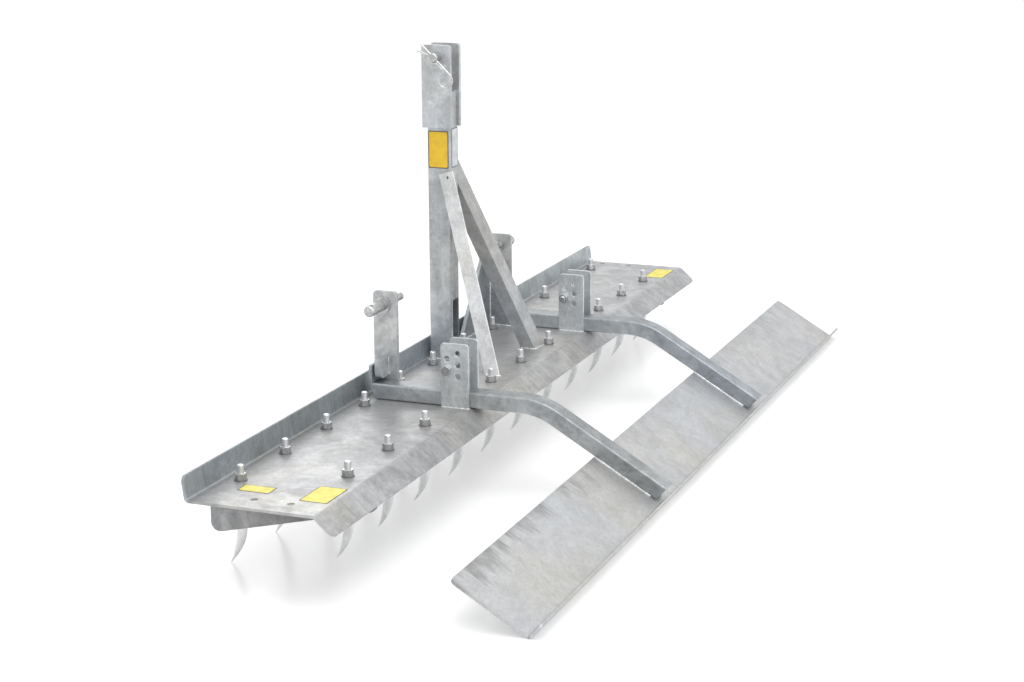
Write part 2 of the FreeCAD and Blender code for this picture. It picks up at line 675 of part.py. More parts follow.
def guide_bolt():
    """The right guide bolt: its head outside, its shank over the arm."""
    seat = V(GUIDE_OUTER + GUIDE_SHEET, GUIDE_BOLT_Y, GUIDE_BOLT_Z)
    end = V(GUIDE_INNER - NUT_HEIGHT - BOLT_END, GUIDE_BOLT_Y, GUIDE_BOLT_Z)
    shank = chamfered_rod(GUIDE_BOLT / 2, seat, end, GUIDE_BOLT * STUD_CHAMFER_SHARE)
    return shank.fuse(hexagon(BOLT_HEAD_ACROSS_FLATS, BOLT_HEAD_HEIGHT, seat, ACROSS))


def guide_nut():
    """The nut on the guide bolt's inner end."""
    place = V(GUIDE_INNER, GUIDE_BOLT_Y, GUIDE_BOLT_Z)
    return hexagon(NUT_ACROSS_FLATS, NUT_HEIGHT, place, ACROSS * -1,
                   GUIDE_BOLT + 2 * THREAD_CLEARANCE)


def blade_bend_point():
    """The corner of the blade's upper face, so that its folded underside meets the ground."""
    lip = -LIP_ANGLE
    half_turn = radians((BLADE_SLOPE_ANGLE - lip) / 2)
    bisector = heading((BLADE_SLOPE_ANGLE + lip) / 2 + 90)
    centre_rise = BLADE_BEND * bisector.z / cos(half_turn)
    return V(0, -BLADE_SETBACK, BLADE_BEND + BLADE_SHEET - centre_rise)


def blade_line():
    """The blade's upper face, from the lip's edge to the upper front edge."""
    bend = blade_bend_point()
    return [bend - heading(-LIP_ANGLE) * BLADE_LIP, bend,
            bend + heading(BLADE_SLOPE_ANGLE) * BLADE_DEPTH]


def blade():
    """The levelling blade with its turned-up rear lip and rounded corners."""
    line = blade_line()
    half = BLADE_LENGTH / 2
    sheet = folded_strip(line, BLADE_SHEET, [0, BLADE_BEND, 0], -half, half)
    top_side = right_of(heading(BLADE_SLOPE_ANGLE)) * (BLADE_SHEET / 2)
    lip_side = right_of(heading(-LIP_ANGLE)) * (BLADE_SHEET / 2)
    ends = [ACROSS * side + place for side in (-half, half)
            for place in (line[-1] + top_side, line[0] + lip_side)]
    return rounded_corners(sheet, ends, BLADE_CORNER, BLADE_SHEET)


def arm_line():
    """The arm's lower edge: level over the deck, then down along the blade to its bend."""
    bend = blade_bend_point()
    knee_y = bend.y + (ARM_FLOOR - bend.z) / tan(radians(BLADE_SLOPE_ANGLE))
    return [V(0, -ARM_FRONT_BACK, ARM_FLOOR), V(0, knee_y, ARM_FLOOR), bend]


def hook_line():
    """The hook's front face, from its upper edge down and back to the arm's lower edge."""
    knee = V(0, -ARM_FRONT_BACK, ARM_FLOOR + HOOK_KNEE_RISE)
    drop = HOOK_KNEE_RISE / cos(radians(HOOK_SLOPE_ANGLE))
    return [V(0, -ARM_FRONT_BACK, ARM_FLOOR + HOOK_TOP_RISE), knee,
            knee - heading(90 - HOOK_SLOPE_ANGLE) * drop]


def arm_hook():
    """The right bent strip that closes the arm's slanted front end and stands up as a hook."""
    return folded_strip(hook_line(), HOOK_SHEET, [0, HOOK_BEND, 0], ARM_INNER, ARM_OUTER)


def arm_bar(skin):
    """The arm's bent bar, longer than the arm at both ends, thinner all round by a skin."""
    return folded_strip(arm_line(), ARM_HEIGHT, [0, ARM_BEND, 0], ARM_INNER + skin,
                        ARM_OUTER - skin, skin)


def arm_outside():
    """The arm's bent bar with its four long edges rounded."""
    bar = arm_bar(0)
    long_edges = [edge for edge in bar.Edges if edge.Length > ARM_HEIGHT + PIN_CLEARANCE
                  and ARM_SIDE_CLEARANCE > min(abs(edge.CenterOfMass.x - side)
                                               for side in (ARM_INNER, ARM_OUTER))]
    return bar.makeFillet(ARM_CORNER, long_edges)


def front_trim():
    """All that lies in front of the hook's rear face."""
    line = hook_line()
    far = strip_lines(line, HOOK_SHEET, [0, HOOK_BEND, 0], 0)[2]
    lowest = far[2] - heading(90 - HOOK_SLOPE_ANGLE) * OVERRUN
    reach = ARM_FRONT_BACK + OVERRUN
    points = [V(0, far[1].y, DECK + LOWER_PIN_RISE), far[1], lowest,
              V(0, reach, lowest.z), V(0, reach, DECK + LOWER_PIN_RISE)]
    return plate_across((points, [0] * 5), LINK_INNER, ARM_OUTER + OVERRUN)


def rear_trim(inset):
    """All that lies behind the arm's slanted rear end, or behind a plane one inset before it."""
    rise = heading(BLADE_SLOPE_ANGLE + 90 + ARM_END_TILT)
    foot = blade_bend_point() + heading(BLADE_SLOPE_ANGLE) * ARM_END_GAP + right_of(rise) * inset
    low = foot - rise * OVERRUN
    high = foot + rise * (ARM_HEIGHT + OVERRUN)
    behind = right_of(rise) * -(ARM_HEIGHT + OVERRUN)
    outline = [low, low + behind, high + behind, high]
    return plate_across((outline, [0] * 4), ARM_INNER - OVERRUN, ARM_OUTER + OVERRUN)


def blade_arm():
    """The right arm: a bent box tube between its hook and its end cap."""
    tube = arm_outside().cut(arm_bar(ARM_WALL)).cut(rear_trim(ARM_CAP))
    return tube.cut(front_trim()).cut(arm_hook())


def arm_end_cap():
    """The flat plate that closes the arm's rear end."""
    return arm_outside().common(rear_trim(ARM_CAP)).cut(rear_trim(0))


def rearmost():
    """Y place of the lip's outer edge."""
    return (blade_line()[0] + right_of(heading(-LIP_ANGLE)) * BLADE_SHEET).y


def foremost():
    """Y place of the front flange's outer edge."""
    return (tray_line()[-1] + right_of(heading(90 - FRONT_LEAN_ANGLE)) * TRAY_SHEET).y


def pieces():
    """Every node's name with its solids."""
    washers, nuts = tine_fastenings()
    shapes = {
        "tine_tray": [tray()],
        "front_row_tines": tine_row(FRONT_TINES, FRONT_ROW_BACK),
        "rear_row_tines": tine_row(REAR_TINES, REAR_ROW_BACK),
        "tine_washers": washers,
        "tine_nuts": nuts,
        "mast_tube": [mast()],
        "mast_brace_left": [left_brace()],
        "mast_brace_right": [right_brace()],
        "link_gusset_right": [gusset()],
        "top_link_pin": [top_link_pin()],
        "r_clip": [retaining_clip()],
        "levelling_blade": [blade()],
    }
    sided = {
        "side_board": side_board(),
        "top_link_plate": top_link_plate(),
        "lower_link_plate": link_plate(),
        "lower_link_pin": lower_pin(),
        "hook_lug": hook_lug(),
        "guide_plate_inner": guide_plate(GUIDE_INNER),
        "guide_plate_outer": guide_plate(GUIDE_OUTER),
        "guide_bolt": guide_bolt(),
        "blade_arm": blade_arm(),
        "arm_hook": arm_hook(),
    }
    for name, shape in sided.items():
        shapes[name + "_right"] = [shape]
        shapes[name + "_left"] = [mirrored(shape)]
    pairs = {"lower_pin_nuts": lower_pin_nut(), "guide_bolt_nuts": guide_nut(),
             "arm_end_caps": arm_end_cap()}
    for name, shape in pairs.items():
        shapes[name] = [shape, mirrored(shape)]
    return shapes


def write_parts():
    """Write each node with the origin under the middle of the whole, on the ground."""
    os.makedirs("parts", exist_ok=True)
    shift = FORWARD * (-(foremost() + rearmost()) / 2)
    for name, solids in sorted(pieces().items()):
        for solid in solids:
            solid.translate(shift)
        shape = solids[0] if len(solids) == 1 else Part.makeCompound(solids)
        shape.exportStep("parts/" + name + ".step")


write_parts()
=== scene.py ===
from math import cos, pi, radians, sin, tau
from random import Random

import bmesh
import bpy
from mathutils import Matrix, Vector

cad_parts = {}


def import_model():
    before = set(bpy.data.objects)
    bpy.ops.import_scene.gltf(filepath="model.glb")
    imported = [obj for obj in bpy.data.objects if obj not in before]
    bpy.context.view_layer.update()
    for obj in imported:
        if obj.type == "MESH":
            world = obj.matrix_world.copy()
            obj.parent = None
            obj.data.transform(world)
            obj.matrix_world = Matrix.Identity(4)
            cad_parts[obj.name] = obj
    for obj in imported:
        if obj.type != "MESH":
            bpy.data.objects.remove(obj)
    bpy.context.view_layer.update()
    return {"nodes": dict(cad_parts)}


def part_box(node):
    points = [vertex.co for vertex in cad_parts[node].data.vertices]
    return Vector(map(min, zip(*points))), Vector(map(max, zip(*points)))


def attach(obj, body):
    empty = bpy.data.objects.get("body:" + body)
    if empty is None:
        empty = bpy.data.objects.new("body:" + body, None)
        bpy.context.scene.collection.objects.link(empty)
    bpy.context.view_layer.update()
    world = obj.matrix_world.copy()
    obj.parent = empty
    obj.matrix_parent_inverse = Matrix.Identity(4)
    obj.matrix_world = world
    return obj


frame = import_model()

# An arena leveller in hot-dip galvanised steel on a plain white floor. Lengths are metres
# and angles are degrees. X runs along the tray, +Y points to the tractor and +Z is up.
UP = Vector((0, 0, 1))
SIDES = (("left", -1), ("right", 1))

# Camera, solved from the photograph's straight edges
CAMERA_PLACE = (-4.008884, -1.423227, 1.277070)
CAMERA_YAW = 21.243
CAMERA_PITCH = 14.037
CAMERA_ROLL = -0.264
LENS_MM = 73.884
SENSOR_MM = 36.0
CAMERA_FAR = 60

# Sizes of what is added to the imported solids
WELD_RADIUS = 0.0027
WELD_RIPPLE = 0.0034
WELD_STEP = 0.0011
WELD_SIDES = 8
STUD_RADIUS = 0.006
THREAD_PITCH = 0.00175
THREAD_HEIGHT = 0.0003
THREAD_TURN_STEPS = 20
THREAD_HALF_SHARE = 0.42
LEAST_THREAD_STEPS = 8
STUD_END_BEVEL = 0.0013
BLADE_SLOPE = 30.5
BLADE_SHEET = 0.005
PATCH_THICKNESS = 0.0004
PATCH_CORNER = 0.004
PATCH_CORNER_STEPS = 4
PATCH_RIM = 0.0018

# Weld beads: smaller sizes, and ripple, wander, scatter and thinnest end as shares of a radius
SMALL_WELD = WELD_RADIUS * 0.8
LUG_WELD = WELD_RADIUS * 0.7
RIPPLE_SHARE = 0.14
WANDER_SHARE = 0.10
SCATTER_SHARE = 0.03
THINNEST_SHARE = 0.12
WANDER_WAVES = 17
RUN_OUT_STEPS = 5
LEAST_BEAD_STEPS = 6

# How far down an arm's cut on the blade its side beads reach, and where the cross bead lies
ARM_SIDE_WELD_SHARE = 0.93
ARM_FOOT_SHARE = 0.9

# How strongly the search for a foot's outer corners leans to one axis
FOOT_CORNER_LEAN = 4

# Plain patches on the deck: low and high X, then how far behind the mast's front they begin
# and end. On the mast: heights, insets on its left side and X places on its rear.
DECK_PATCHES = {
    "patch_left_front": (-0.969, -0.938, 0.107, 0.049),
    "patch_left_rear": (-0.983, -0.902, 0.225, 0.175),
    "patch_right_rear": (0.912, 1.010, 0.228, 0.183),
}
SIDE_PATCH_HEIGHTS = (0.566, 0.641)
SIDE_PATCH_INSETS = (0.006, 0.004)
REAR_PATCH_HEIGHTS = (0.567, 0.646)
REAR_PATCH_PLACES = (-0.012, 0.018)

# Sticker colours, where dirty and where clean
YELLOW = ((0.72, 0.61, 0.10, 1), (0.88, 0.77, 0.11, 1))
ORANGE = ((0.88, 0.54, 0.04, 1), (0.98, 0.65, 0.04, 1))
PALE = ((0.55, 0.56, 0.58, 1), (0.76, 0.77, 0.80, 1))
DARK = ((0.10, 0.10, 0.10, 1), (0.16, 0.16, 0.16, 1))

# Zinc finishes: dark and light greys, shift to blue, waves per metre of the streaks along
# each axis, and the shares of streaks and of crystals. The greys also carry painted light and
# shade: the brace and guide plates are set lighter, and the board and gusset darker, to match
# how light falls on them.
ZINC_LOOKS = {
    "tray": (0.34, 0.54, 0.006, (46, 7, 7), 0.12, 0.08),
    "board": (0.14, 0.29, 0.02, (46, 46, 7), 0.25, 0.10),
    "mast": (0.34, 0.64, 0.04, (40, 40, 5), 0.22, 0.12),
    "brace": (0.56, 0.98, 0.014, (40, 40, 5), 0.22, 0.10),
    "arm": (0.32, 0.68, 0.06, (60, 12, 60), 0.15, 0.12),
    "bracket": (0.40, 0.76, 0.03, (50, 50, 9), 0.2, 0.12),
    "plate": (0.40, 0.76, 0.03, (50, 50, 9), 0.2, 0.12),
    "gusset": (0.27, 0.52, 0.06, (50, 50, 9), 0.2, 0.12),
    "guide": (0.47, 0.89, 0.055, (50, 50, 9), 0.2, 0.14),
    "blade": (0.47, 0.62, 0.010, (60, 5, 5), 0.10, 0.14),
}

# How much the edges beside the sheet are lightened as a painted highlight (above one) or darkened
# (below one)
PLAIN_RIM = 1.12
BRIGHT_RIM = 1.3
TRAY_RIM = 0.96
BOARD_RIM = 0.6
BLADE_RIM = 0.55

# Plated finishes: how bright, how rough, and the share of brightness kept as painted shade on
# upright faces
PLATED_LOOKS = {
    "bright_zinc": (0.84, 0.20, 0.64),
    "dull_zinc": (0.44, 0.34, 0.6),
    "turned_pin": (0.70, 0.24, 0.85),
    "clip_wire": (0.84, 0.16, 0.85),
}

# Patterns in the zinc, in waves per metre, and how they mix
TINT_SCALE = 3.2
CLOUD_SCALE = 8.0
BLOTCH_SCALE = 26
STAIN_SCALE = 30
RELIEF_SCALE = 95
CRYSTAL_SCALE = 120
GRAIN_SCALE = 150
SPECK_SCALE = 420
BLOTCH_SHARE = 0.45
STREAK_RELIEF_SHARE = 0.4
WARM = (1.015, 1.0, 0.965)
COOL = (0.985, 1.0, 1.02)
FLANGE_TINT = (0.93, 1.0, 1.04)
EDGE_RADIUS = 0.0013
ZINC_METALLIC = 0.72
STEEL_METALLIC = 0.75
PLATED_METALLIC = 0.9

# The white surround's strength as light and as it looks, the floor, and the lamps with their
# places, targets, sizes and watts
SURROUND_LIGHT = 0.62
SURROUND_LOOK = 1.0
FLOOR_HALF_SIZE = 30
FLOOR_WHITE = (0.86, 0.86, 0.86, 1)
FLOOR_ROUGHNESS = 0.28
FLOOR_LIFT = 0.29
LAMPS = (
    ("overhead", (-0.4, -0.6, 3.6), (0, 0, 0), 3.2, 70),
    ("rear_fill", (-2.6, -3.2, 2.2), (0, 0, 0.3), 2.2, 28),
    ("side_fill", (2.6, 2.4, 2.4), (0, 0, 0.2), 2.4, 24),
)

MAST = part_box("mast_tube")
DECK = MAST[0].z
FRONT_BEND = MAST[1].y + 0.005
REAR_BEND = FRONT_BEND - 0.240
BLADE_CREASE = FRONT_BEND - 0.6275

# Where marks and painted shade lie on the galvanised pieces, and over what distances they fade
DARKER_SPOT = (0, REAR_BEND + 0.07, DECK)
DARKER_SPOT_FADE = (0.08, 0.34)
PAINTED_SHADE_BAND = -0.58
PAINTED_SHADE_BAND_FADE = (0.05, 0.40)
REAR_BEND_FADE = (REAR_BEND + 0.012, REAR_BEND - 0.006)
REAR_BEND_RAGGED = 0.03
FRONT_BEND_MIDDLE = FRONT_BEND - 0.005
FRONT_BEND_FADE = (0.003, 0.011)
FLANGE_FADE = (FRONT_BEND - 0.003, FRONT_BEND + 0.001)
FLANGE_LEFT_FADE = (-0.7, -0.3)
STAIN_REACH = (0.078, 0.040)
STAIN_FADE = 0.018
STAIN_LEFT_FADE = (-0.60, -0.25)
CREASE_FADE = (0.0004, 0.0032)
ARM_SLOPE_FADE = (-0.03, -0.09)
BOARD_END_FADE = (0.94, 1.03)
BRACE_FOOT_FADE = (DECK, DECK + 0.36)
MIDDLE_FADE = (-0.004, 0.004)


class Finish:
    """A material under construction, with short calls for its nodes."""

    def __init__(self, name):
        self.material = bpy.data.materials.new(name)
        self.material.use_nodes = True
        self.tree = self.material.node_tree
        self.shader = self.tree.nodes["Principled BSDF"]
        self.place = self.node("ShaderNodeTexCoord").outputs["Object"]

    def node(self, kind, settings=None, **inputs):
        """A node with its settings, and with values or links on its inputs."""
        made = self.tree.nodes.new(kind)
        for key, value in (settings or {}).items():
            setattr(made, key, value)
        for key, value in inputs.items():
            self.feed(made.inputs[key.replace("_", " ")], value)
        return made

    def feed(self, socket, value):
        """Put a value on a socket, or link an output to it."""
        if isinstance(value, bpy.types.NodeSocket):
            self.tree.links.new(value, socket)
        else:
            socket.default_value = value

    def math(self, operation, first, second=0.0, clamp=False):
        """One arithmetic step on one or two values."""
        made = self.node("ShaderNodeMath", {"operation": operation, "use_clamp": clamp})
        self.feed(made.inputs[0], first)
        self.feed(made.inputs[1], second)
        return made.outputs[0]

    def apart(self, value, centre):
        """How far a value is from a centre, on either side."""
        return self.math("ABSOLUTE", self.math("SUBTRACT", value, centre))

    def stretched(self, scales, turn=0.0):
        """Object coordinates scaled along each axis, after a turn about X."""
        made = self.node("ShaderNodeMapping", {"vector_type": "TEXTURE"}, Vector=self.place)
        made.inputs["Rotation"].default_value = (radians(turn), 0, 0)
        made.inputs["Scale"].default_value = [1 / scale for scale in scales]
        return made.outputs[0]

    def noise(self, scale, detail=4.0, roughness=0.6, place=None, distortion=0.0):
        """Cloudy noise between 0 and 1."""
        made = self.node("ShaderNodeTexNoise", Vector=place or self.place, Scale=scale,
                         Detail=detail, Roughness=roughness, Distortion=distortion)
        return made.outputs["Fac"]

    def cells(self, scale):
        """A random grey for each cell of a cracked pattern."""
        made = self.node("ShaderNodeTexVoronoi", Vector=self.place, Scale=scale)
        split = self.node("ShaderNodeSeparateColor", Color=made.outputs["Color"])
        return split.outputs[0]

    def spread(self, value, low, high, to_low=0.0, to_high=1.0):
        """A value mapped from one range to another, and kept inside it."""
        made = self.node("ShaderNodeMapRange", Value=value)
        made.inputs["From Min"].default_value = low
        made.inputs["From Max"].default_value = high
        made.inputs["To Min"].default_value = to_low
        made.inputs["To Max"].default_value = to_high
        return made.outputs[0]

    def axes(self):
        """The X, Y and Z places on the object."""
        return self.node("ShaderNodeSeparateXYZ", Vector=self.place).outputs

    def shade(self, color, factor):
        """A colour made darker or lighter."""
        return self.node("ShaderNodeVectorMath", {"operation": "SCALE"}, Vector=color,
                         Scale=factor).outputs[0]

    def tinted(self, color, tint):
        """A colour multiplied by a tint."""
        made = self.node("ShaderNodeVectorMath", {"operation": "MULTIPLY"}, Vector=color)
        made.inputs[1].default_value = tint
        return made.outputs[0]

    def facing_up(self):
        """One on faces that look up, and zero on upright ones."""
        return self.spread(self.facing()[2], 0.3, 0.8)

    def mix(self, share, first, second):
        """Two colours mixed by a share."""
        made = self.node("ShaderNodeMix", {"data_type": "RGBA"})
        self.feed(made.inputs[0], share)
        self.feed(made.inputs[6], first)
        self.feed(made.inputs[7], second)
        return made.outputs[2]

    def blend(self, share, first, second):
        """Two values mixed by a share."""
        made = self.node("ShaderNodeMix", {"data_type": "FLOAT"})
        self.feed(made.inputs[0], share)
        self.feed(made.inputs[2], first)
        self.feed(made.inputs[3], second)
        return made.outputs[0]

    def facing(self):
        """The X, Y and Z parts of the flat surface normal."""
        flat = self.node("ShaderNodeNewGeometry").outputs["Normal"]
        return self.node("ShaderNodeSeparateXYZ", Vector=flat).outputs

    def outer(self, inner_share):
        """One on faces that look away from the machine's middle, and less on inward ones."""
        outward = self.math("MULTIPLY", self.facing()[0], self.axes()[0])
        return self.spread(outward, -0.015, 0.015, inner_share, 1.0)

    def edges(self, radius):
        """How strongly a place lies on a sharp edge, and the rounded normal there."""
        bevel = self.node("ShaderNodeBevel", {"samples": 6}, Radius=radius)
        flat = self.node("ShaderNodeNewGeometry").outputs["Normal"]
        turned = self.node("ShaderNodeVectorMath", {"operation": "DISTANCE"})
        self.feed(turned.inputs[0], bevel.outputs[0])
        self.feed(turned.inputs[1], flat)
        return self.spread(turned.outputs["Value"], 0.05, 0.6), bevel.outputs[0]

    def bump(self, height, strength, distance, normal):
        """The surface normal disturbed by a height."""
        made = self.node("ShaderNodeBump", Height=height, Strength=strength, Distance=distance)
        self.feed(made.inputs["Normal"], normal)
        return made.outputs[0]

    def finish(self, color, roughness, metallic, normal=None):
        """Connect the shader and return the material."""
        self.feed(self.shader.inputs["Base Color"], color)
        self.feed(self.shader.inputs["Roughness"], roughness)
        self.shader.inputs["Metallic"].default_value = metallic
        if normal is not None:
            self.feed(self.shader.inputs["Normal"], normal)
        return self.material


def grey(value, blue=0.0):
    """A grey with a small shift towards blue."""
    return (value * (1 - blue), value, value * (1 + blue), 1.0)


def zinc_pattern(made, streaks, turn, streak_share, crystal_share):
    """Blotches, streaks and crystals summed between 0 and 1, and the streaks alone."""
    clouds = made.spread(made.noise(CLOUD_SCALE, 6, 0.62, distortion=2.2), 0.40, 0.60)
    blotches = made.spread(made.noise(BLOTCH_SCALE, 5, 0.6, distortion=1.2), 0.36, 0.66)
    drawn = made.noise(1, 4, 0.65, made.stretched(streaks, turn), 0.4)
    runs = made.spread(drawn, 0.35, 0.68)
    wavy = made.math("MULTIPLY", made.blend(BLOTCH_SHARE, clouds, blotches),
                     1 - streak_share - crystal_share)
    running = made.math("MULTIPLY", runs, streak_share)
    crystals = made.math("MULTIPLY", made.cells(CRYSTAL_SCALE), crystal_share)
    return made.math("ADD", made.math("ADD", wavy, running), crystals, True), runs


def galvanised(look, marks=None, rim=PLAIN_RIM, turn=0.0):
    """Hot-dip zinc: wavy blotches, faint crystals, streaks across the sheet, and edges lightened
    as a painted highlight or darkened.
    """
    dark, light, blue, streaks, streak_share, crystal_share = ZINC_LOOKS[look]
    made = Finish(look + "_zinc")
    value, runs = zinc_pattern(made, streaks, turn, streak_share, crystal_share)
    color = made.mix(value, grey(dark, blue), grey(light, blue))
    tint = made.spread(made.noise(TINT_SCALE, 3), 0.42, 0.58)
    color = made.mix(tint, made.tinted(color, WARM), made.tinted(color, COOL))
    # For some parts these marks include painted light and shade.
    if marks is not None:
        color = marks(made, color)
    edge, rounded = made.edges(EDGE_RADIUS)
    grain = made.spread(made.noise(GRAIN_SCALE, 4, 0.75), 0.34, 0.66, 0.91, 1.09)
    color = made.shade(color, grain)
    specks = made.spread(made.noise(SPECK_SCALE, 2), 0.62, 0.8, 0.0, 0.35)
    color = made.mix(specks, color, made.shade(color, 0.72))
    # Edges lightened as a painted highlight where rim is above one, and darker where it is below
    # one.
    color = made.mix(made.math("MULTIPLY", edge, 0.6), color, made.shade(color, rim))
    rough = made.spread(value, 0.0, 1.0, 0.5, 0.34)
    relief = made.blend(STREAK_RELIEF_SHARE, made.noise(RELIEF_SCALE, 4), runs)
    normal = made.bump(relief, 0.22, 0.0012, rounded)
    return made.finish(color, rough, ZINC_METALLIC, normal)


def tray_marks_and_shade(made, color):
    """Streaks over the rear bend, a darker spot, painted shade in a band and at the front bend, a
    darker flange.
    """
    across, along, _ = made.axes()
    # Darker round a spot behind the mast.
    near = made.node("ShaderNodeVectorMath", {"operation": "DISTANCE"}, Vector=made.place)
    near.inputs[1].default_value = DARKER_SPOT
    color = made.shade(color, made.spread(near.outputs["Value"], *DARKER_SPOT_FADE, 0.92, 1.0))
    # A band across the left of the deck darkened as painted shade, and lightened a little beyond
    # it.
    band = made.apart(across, PAINTED_SHADE_BAND)
    color = made.shade(color, made.spread(band, *PAINTED_SHADE_BAND_FADE, 0.92, 1.04))
    fine = made.noise(1, 3, 0.65, made.stretched((330, 9, 9)), 0.2)
    streaked = made.shade(color, made.spread(fine, 0.34, 0.68, 0.88, 1.15))
    ragged = made.math("MULTIPLY", made.spread(fine, 0.3, 0.7), REAR_BEND_RAGGED)
    rear = made.math("SUBTRACT", along, ragged)
    color = made.mix(made.spread(rear, *REAR_BEND_FADE), color, streaked)
    # Painted shade along the front bend, where the deck meets the flange.
    bend = made.apart(along, FRONT_BEND_MIDDLE)
    color = made.shade(color, made.spread(bend, *FRONT_BEND_FADE, 0.80, 1.0))
    # The front flange darker and bluer, more so towards the left.
    front = made.spread(along, *FLANGE_FADE)
    fade = made.spread(across, *FLANGE_LEFT_FADE, 0.83, 1.0)
    return made.mix(front, color, made.shade(made.tinted(streaked, FLANGE_TINT), fade))


def blade_stains_and_shade(made, color):
    """Dark stains under the upper edge, mostly on the left, and painted shade along the crease at
    the lip.
    """
    across, along, height = made.axes()
    ragged = made.noise(1, 3, 0.6, made.stretched((34, 5, 5), BLADE_SLOPE), 0.5)
    reach = made.spread(ragged, 0.42, 0.70, *STAIN_REACH)
    near_edge = made.spread(made.math("SUBTRACT", height, reach), 0.0, STAIN_FADE)
    uneven = made.spread(made.noise(STAIN_SCALE, 3), 0.3, 0.7, 0.30, 0.80)
    share = made.math("MULTIPLY", near_edge, uneven)
    share = made.math("MULTIPLY", share, made.spread(across, *STAIN_LEFT_FADE, 1.0, 0.35))
    color = made.mix(share, color, grey(0.24, 0.01))
    # Painted shade along the crease above the lip.
    crease = made.apart(along, BLADE_CREASE)
    return made.shade(color, made.spread(crease, *CREASE_FADE, 0.62, 1.0))


def arm_painted_shade(made, color):
    """An arm darkened as painted shade on its level top and all along its slope."""
    # Upward faces of the level part and all faces of the slope darkened as painted shade.
    top = made.facing_up()
    sloping = made.spread(made.axes()[1], *ARM_SLOPE_FADE)
    level = made.blend(top, 0.96, 0.64)
    slope = made.blend(top, 0.70, 0.76)
    return made.shade(color, made.blend(sloping, level, slope))


def board_marks(made, color):
    """A side board lighter at its outer end."""
    outward = made.apart(made.axes()[0], 0.0)
    return made.shade(color, made.spread(outward, *BOARD_END_FADE, 1.0, 1.45))


def brace_light_and_shade(made, color):
    """Painted light on the left brace's outer and rear faces, painted shade inside the right one,
    lighter at the foot.
    """
    forward = made.facing()[1]
    place, _, height = made.axes()
    # Outward faces kept bright and inward ones darkened, as painted light and shade; rear faces
    # lightened on the left brace and darkened on the right.
    rear = made.spread(forward, -0.7, -0.9)
    rear_share = made.spread(place, *MIDDLE_FADE, 1.25, 0.62)
    color = made.shade(color, made.blend(rear, made.outer(0.66), rear_share))
    # Lighter towards the foot and darker towards the top.
    return made.shade(color, made.spread(height, *BRACE_FOOT_FADE, 1.16, 0.90))


def plate_painted_shade(made, color):
    """Link plates darkened as painted shade on the side that looks to the middle."""
    return made.shade(color, made.outer(0.76))


def zinc(name):
    """Zinc plate with small dull spots, painted shade on upright faces and painted highlights on
    edges.
    """
    light, roughness, side = PLATED_LOOKS[name]
    made = Finish(name)
    spots = made.spread(made.noise(160, 4), 0.4, 0.66)
    color = made.mix(spots, grey(light * 0.72), grey(light, 0.01))
    # Upright faces darkened as painted shade.
    color = made.mix(made.facing_up(), made.shade(color, side), color)
    edge, rounded = made.edges(0.0005)
    # Edges lightened as a painted highlight.
    color = made.mix(made.math("MULTIPLY", edge, 0.6), color, grey(min(light * 1.25, 0.95)))
    rough = made.spread(spots, 0.0, 1.0, roughness + 0.12, roughness)
    normal = made.bump(made.noise(600, 2), 0.12, 0.0004, rounded)
    return made.finish(color, rough, PLATED_METALLIC, normal)


def claw_steel():
    """Zinc-coated tine steel with fine lengthwise marks and darker edges."""
    made = Finish("tine_steel")
    marks = made.noise(1, 4, 0.6, made.stretched((260, 260, 22)))
    clouds = made.spread(made.noise(48, 4), 0.35, 0.66)
    value = made.blend(0.5, marks, clouds)
    color = made.mix(value, grey(0.66, 0.01), grey(0.94, 0.01))
    edge, rounded = made.edges(0.0008)
    color = made.mix(made.math("MULTIPLY", edge, 0.5), color, grey(0.26))
    normal = made.bump(marks, 0.25, 0.0006, rounded)
    rough = made.spread(value, 0.0, 1.0, 0.46, 0.32)
    return made.finish(color, rough, STEEL_METALLIC, normal)


def weld_metal():
    """Weld beads under zinc: bright crests and dull spatter."""
    made = Finish("weld_metal")
    spots = made.spread(made.noise(240, 4), 0.35, 0.65)
    color = made.mix(spots, grey(0.48, 0.02), grey(0.92, 0.01))
    normal = made.bump(made.noise(500, 3), 0.3, 0.0005,
                       made.node("ShaderNodeNewGeometry").outputs["Normal"])
    rough = made.spread(spots, 0.0, 1.0, 0.5, 0.3)
    return made.finish(color, rough, STEEL_METALLIC, normal)


def plain_patch(name, dirty, clean):
    """A plain sticker with faint dirt and darker edges."""
    made = Finish(name)
    dirt = made.spread(made.noise(70, 5), 0.4, 0.72)
    edge, rounded = made.edges(0.0014)
    color = made.mix(dirt, clean, dirty)
    color = made.mix(made.math("MULTIPLY", edge, 0.8), color, made.shade(color, 0.25))
    normal = made.bump(made.noise(90, 2), 0.05, 0.0006, rounded)
    return made.finish(color, made.spread(dirt, 0.0, 1.0, 0.36, 0.5), 0.0, normal)


